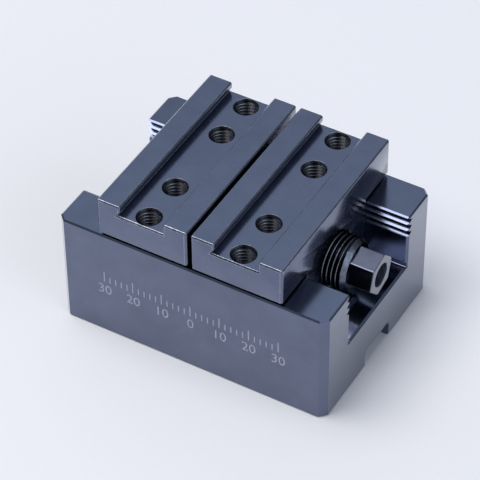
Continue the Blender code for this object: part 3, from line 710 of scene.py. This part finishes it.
def round_softbox(name, direction, size, radiance, color):
    """A round area lamp that faces the part from a direction, as bright in a mirror as its radiance."""
    lamp = bpy.data.lights.new(name, "AREA")
    lamp.shape = "DISK"
    lamp.size = size
    lamp.color = color
    lamp.energy = radiance * math.pi * math.pi * size * size / 4
    item = shown(name, lamp)
    toward = Vector(direction).normalized()
    item.location = Vector(LAMP_AIM) + toward * LAMP_DISTANCE
    item.rotation_euler = toward.to_track_quat("Z", "Y").to_euler()


def studio_room():
    """Light of the room: walls that brighten upwards, dimmer in front and at the right.

    Behind the part a bright band runs along the walls' top edge, and beside it a fill comes from the right.
    """
    world = bpy.data.worlds.new("studio")
    world.use_nodes = True
    tree = world.node_tree
    toward = add(tree, "ShaderNodeTexCoord").outputs["Generated"]
    x, y, z = add(tree, "ShaderNodeSeparateXYZ", {0: toward}).outputs
    horizon = add(tree, "ShaderNodeMapRange", {0: z, **WALL_UP}).outputs[0]
    rise = add(tree, "ShaderNodeMapRange", {0: z, **EDGE_RISE})
    fall = add(tree, "ShaderNodeMapRange", {0: z, **EDGE_FALL})
    front = add(tree, "ShaderNodeMapRange", {0: y, **FRONT_DIMMER})
    behind = add(tree, "ShaderNodeMapRange", {0: y, **EDGE_BEHIND})
    right = add(tree, "ShaderNodeMapRange", {0: x, **RIGHT_DIMMER})
    edge = add(tree, "ShaderNodeMath", {0: rise.outputs[0], 1: fall.outputs[0]}, operation="ADD")
    top = add(tree, "ShaderNodeMath", {0: edge.outputs[0], 1: behind.outputs[0]}, operation="MULTIPLY")
    wall = add(tree, "ShaderNodeMath", {0: horizon, 1: front.outputs[0], 2: top.outputs[0]},
               operation="MULTIPLY_ADD")
    dimmed = add(tree, "ShaderNodeMath", {0: wall.outputs[0], 1: right.outputs[0]}, operation="MULTIPLY")
    beside = add(tree, "ShaderNodeMapRange", {0: x, **FILL_BESIDE})
    before = add(tree, "ShaderNodeMapRange", {0: y, **FILL_BEFORE})
    fill = add(tree, "ShaderNodeMath", {0: beside.outputs[0], 1: before.outputs[0]}, operation="MULTIPLY")
    strength = add(tree, "ShaderNodeMath", {0: horizon, 1: fill.outputs[0], 2: dimmed.outputs[0]},
                   operation="MULTIPLY_ADD")
    sky = tree.nodes["Background"]
    sky.inputs["Color"].default_value = linear(ROOM_COLOR)
    tree.links.new(strength.outputs[0], sky.inputs["Strength"])
    bpy.context.scene.world = world


def photograph_camera():
    """The camera of the photograph, as fitted to the part's edges in it."""
    camera = bpy.data.cameras.new("camera")
    camera.lens = CAMERA_LENS
    camera.sensor_width = SENSOR_WIDTH
    camera.clip_start = CAMERA_NEAR
    camera.clip_end = CAMERA_FAR
    item = shown("camera", camera)
    turn = Matrix((CAMERA_RIGHT, CAMERA_UP, CAMERA_BACK)).transposed()
    item.matrix_world = Matrix.Translation(CAMERA_PLACE) @ turn.to_4x4()
    bpy.context.scene.camera = item


THREAD = thread_tree()
GRADUATIONS = graduation_tree()

# Finishes
base_black = black_oxide("black_oxide_base", "505a74", "5a647e", 0.19)
jaw_black = black_oxide("black_oxide_jaws", "545e79", "5e6782", 0.26, grind=(1, 0.05, 1))
# painted shade: the tapped holes' threads are coloured much darker than the jaws' oxide, for the shade inside
# the holes
tap_shade_black = black_oxide("black_oxide_tapped_painted_shade", "1d2027", "282b34", 0.28, oil=0.5)
# painted highlight, with some wear: pale crests of the tapped threads
tap_crest_highlight = rubbed_edge("black_oxide_tap_crests_painted_highlight", "9499a6", "b0b4bf", 0.34)
# painted highlight with some wear: pale cones at the ends of the spindle's threads
cone_highlight = rubbed_edge("black_oxide_cone_painted_highlight", "5f6472", "757a88", 0.26)
spindle_black = black_oxide("black_oxide_spindle", "4b5165", "575d71", 0.24, grind=(1, 0.3, 0.3))
# painted shade on the flanks and painted highlight on the crests
spindle_thread = rolled_thread("black_oxide_rolled_thread_painted_light", "30333d", "8e919c", 0.26)
drilled_bore = bare_steel("drilled_bore_steel", "656b7d", "9aa1b4", 0.40, (1, 0.1, 0.1))
screw_black = black_oxide("black_oxide_screws", "33353c", "41444c", 0.34, oil=0.5)
# painted highlight with some wear: the broken edges are coloured much paler than the oxide, for the light
# they catch
edge_highlight = rubbed_edge("black_oxide_edges_painted_highlight", "858a98", "b2b6c0", 0.46)
etched = laser_etch("laser_etched_marks", "b2b3c8", "a6a7bd")
bearing_steel = bare_steel("ground_bearing_steel", "77797f", "8d9096", 0.28, (1, 0.06, 1))
pin_steel = bare_steel("polished_pin_steel", "b4b6ba", "c3c5c9", 0.16, (1, 1, 0.06))

# Dressed pieces in place of the CAD's
cutter = etch_cutter(etched)
base_shape = dressed_mesh("base_body", base_black, edge_highlight, cutter)
place("base_body_dressed", base_shape, "base", "blackened_base", "base_body")
bpy.data.objects.remove(cutter)
for side, body, node in ((-1, "left_jaw", "left_carriage"), (1, "right_jaw", "right_carriage")):
    jaw_shape = dressed_mesh(node, jaw_black, edge_highlight, limit=JAW_BREAK_ANGLE)
    place(node + "_dressed", jaw_shape, body, "blackened_carriage", node)
    cut_threads = jaw_threads(body + "_threads", side, tap_shade_black, tap_crest_highlight)
    place(body + "_threads", cut_threads, body, "blackened_carriage")
spindle_shape = spindle_mesh(spindle_thread, spindle_black, drilled_bore, cone_highlight)
place("spindle_cut", spindle_shape, "spindle", "blackened_spindle", "spindle")

# The pieces inside are shown as they are in the CAD, each with its own finish
for node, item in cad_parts.items():
    if "screw" in node:
        inner = screw_black
    elif "dowel" in node:
        inner = pin_steel
    elif node.startswith("centre_block"):
        inner = bearing_steel
    else:
        continue
    item.data.materials.clear()
    item.data.materials.append(inner)

# Floor, light and camera
paper_sweep()
round_softbox("overhead_softbox", direction=(-0.24, -0.22, 0.945), size=1.8, radiance=3.35,
              color=(1.0, 0.95, 0.93))
round_softbox("bright_core", direction=(-0.38, -0.28, 0.88), size=0.75, radiance=2.8,
              color=(1.0, 0.95, 0.92))
studio_room()
photograph_camera()
bpy.context.scene.view_settings.view_transform = "Standard"
